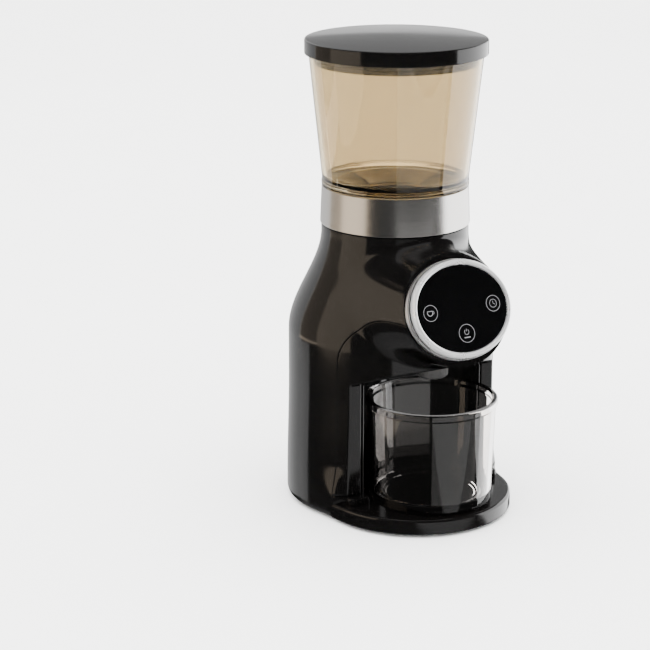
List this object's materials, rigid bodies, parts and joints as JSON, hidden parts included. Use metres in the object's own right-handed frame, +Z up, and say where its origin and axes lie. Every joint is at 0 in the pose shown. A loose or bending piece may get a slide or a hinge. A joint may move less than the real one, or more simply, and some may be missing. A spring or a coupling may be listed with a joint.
{
  "type": "burr coffee grinder",
  "caption": "Round black burr coffee grinder with a smoked bean hopper, a tilted touch panel and a front bay that holds a clear grounds container.",
  "frame": {"origin": "under the middle of the bounding box, on the surface the grinder stands on", "axes": "+Z up through the hopper, the touch panel and the container's bay face -Y, +X to the right seen from the front"},
  "size_m": [0.1452, 0.1748, 0.3256],
  "materials": {
    "gloss_black": "deep glossy black moulded plastic",
    "inner_black": "matt black glass-filled plastic",
    "steel": "brushed stainless steel, grain round the band",
    "burr_steel": "hardened steel, ground",
    "satin_chrome": "satin chrome plating",
    "glass_black": "black back-printed glass",
    "smoked_plastic": "clear plastic with a smoked amber tint",
    "clear_plastic": "thick clear plastic with a faint warm tint",
    "rubber": "soft black rubber",
    "nylon": "natural nylon",
    "board_green": "green circuit board",
    "magnet": "dark sintered ferrite",
    "copper": "copper windings, bronze bush",
    "zinc": "zinc-plated steel"
  },
  "bodies": {
    "housing": {"rear_shell": "gloss_black", "front_cover": "gloss_black", "bay_liner": "gloss_black", "base": "gloss_black", "bottom_plate": "inner_black", "foot_1": "rubber", "foot_2": "rubber", "foot_3": "rubber", "foot_4": "rubber", "base_screw_1": "zinc", "base_screw_2": "zinc", "base_screw_3": "zinc", "base_screw_4": "zinc", "cord_gland": "rubber", "touch_glass": "glass_black", "panel_bezel": "satin_chrome", "panel_ring": "satin_chrome", "panel_cup": "inner_black", "touch_board": "board_green", "trim_band": "steel", "burr_chamber": "inner_black", "interlock_switch": "inner_black", "idler_pin": "zinc", "gearbox_case": "inner_black", "gearbox_cover": "inner_black", "motor_screw_1": "zinc", "motor_screw_2": "zinc", "cover_screw_1": "zinc", "cover_screw_2": "zinc", "chamber_post_1": "zinc", "chamber_post_2": "zinc", "chamber_post_3": "zinc", "upper_bearing": "burr_steel", "lower_bush": "copper", "motor_can": "zinc", "motor_end_bell": "inner_black", "motor_magnet_1": "magnet", "motor_magnet_2": "magnet", "power_board": "board_green", "chute": "inner_black", "chute_boot": "rubber"},
    "grind_collar": {"adjust_collar": "nylon"},
    "bean_hopper": {"hopper": "smoked_plastic", "finger_guard": "inner_black"},
    "hopper_lid": {"lid": "gloss_black", "lid_seal": "rubber"},
    "outer_burr": {"burr_carrier": "nylon", "ring_burr": "burr_steel"},
    "grinding_shaft": {"burr_shaft": "zinc", "cone_burr": "burr_steel", "burr_nut": "zinc", "impeller": "nylon", "output_gear": "nylon"},
    "idler": {"idler_gear": "nylon"},
    "rotor": {"motor_rotor": "copper", "motor_pinion": "burr_steel"},
    "interlock": {"interlock_pin": "nylon"},
    "container": {"grounds_container": "clear_plastic"}
  },
  "joints": [
    {"name": "grind_adjust", "type": "hinge", "parent": "housing", "child": "grind_collar", "pos_m": [0, 0.01084, 0.2234], "axis": [0, 0, 1], "range_deg": [-75, 75]},
    {"name": "burr_gap", "type": "slide", "parent": "housing", "child": "outer_burr", "axis": [0, 0, 1], "range_m": [-0.00062, 0.00062]},
    {"name": "hopper_lift", "type": "slide", "parent": "grind_collar", "child": "bean_hopper", "axis": [0, 0, 1], "range_m": [0, 0.12]},
    {"name": "lid_lift", "type": "slide", "parent": "bean_hopper", "child": "hopper_lid", "axis": [0, 0, 1], "range_m": [0, 0.05]},
    {"name": "burr_spin", "type": "hinge", "parent": "housing", "child": "grinding_shaft", "pos_m": [0, 0.01084, 0.1], "axis": [0, 0, 1], "continuous": true},
    {"name": "idler_spin", "type": "hinge", "parent": "housing", "child": "idler", "pos_m": [0.02123, 0.03096, 0.1], "axis": [0, 0, 1], "continuous": true},
    {"name": "rotor_spin", "type": "hinge", "parent": "housing", "child": "rotor", "pos_m": [0, 0.04884, 0.1], "axis": [0, 0, 1], "continuous": true},
    {"name": "interlock_press", "type": "slide", "parent": "housing", "child": "interlock", "axis": [0, 0, -1], "range_m": [0, 0.002], "stiffness_N_per_m": 150},
    {"name": "container_slide", "type": "slide", "parent": "housing", "child": "container", "axis": [0, -1, 0], "range_m": [0, 0.15]}
  ],
  "couplings": [
    {"joint": "burr_gap", "follows": "grind_adjust", "m_per_rad": 0.00045837},
    {"joint": "idler_spin", "follows": "burr_spin", "ratio": -2.25},
    {"joint": "rotor_spin", "follows": "burr_spin", "ratio": 5.3182}
  ]
}
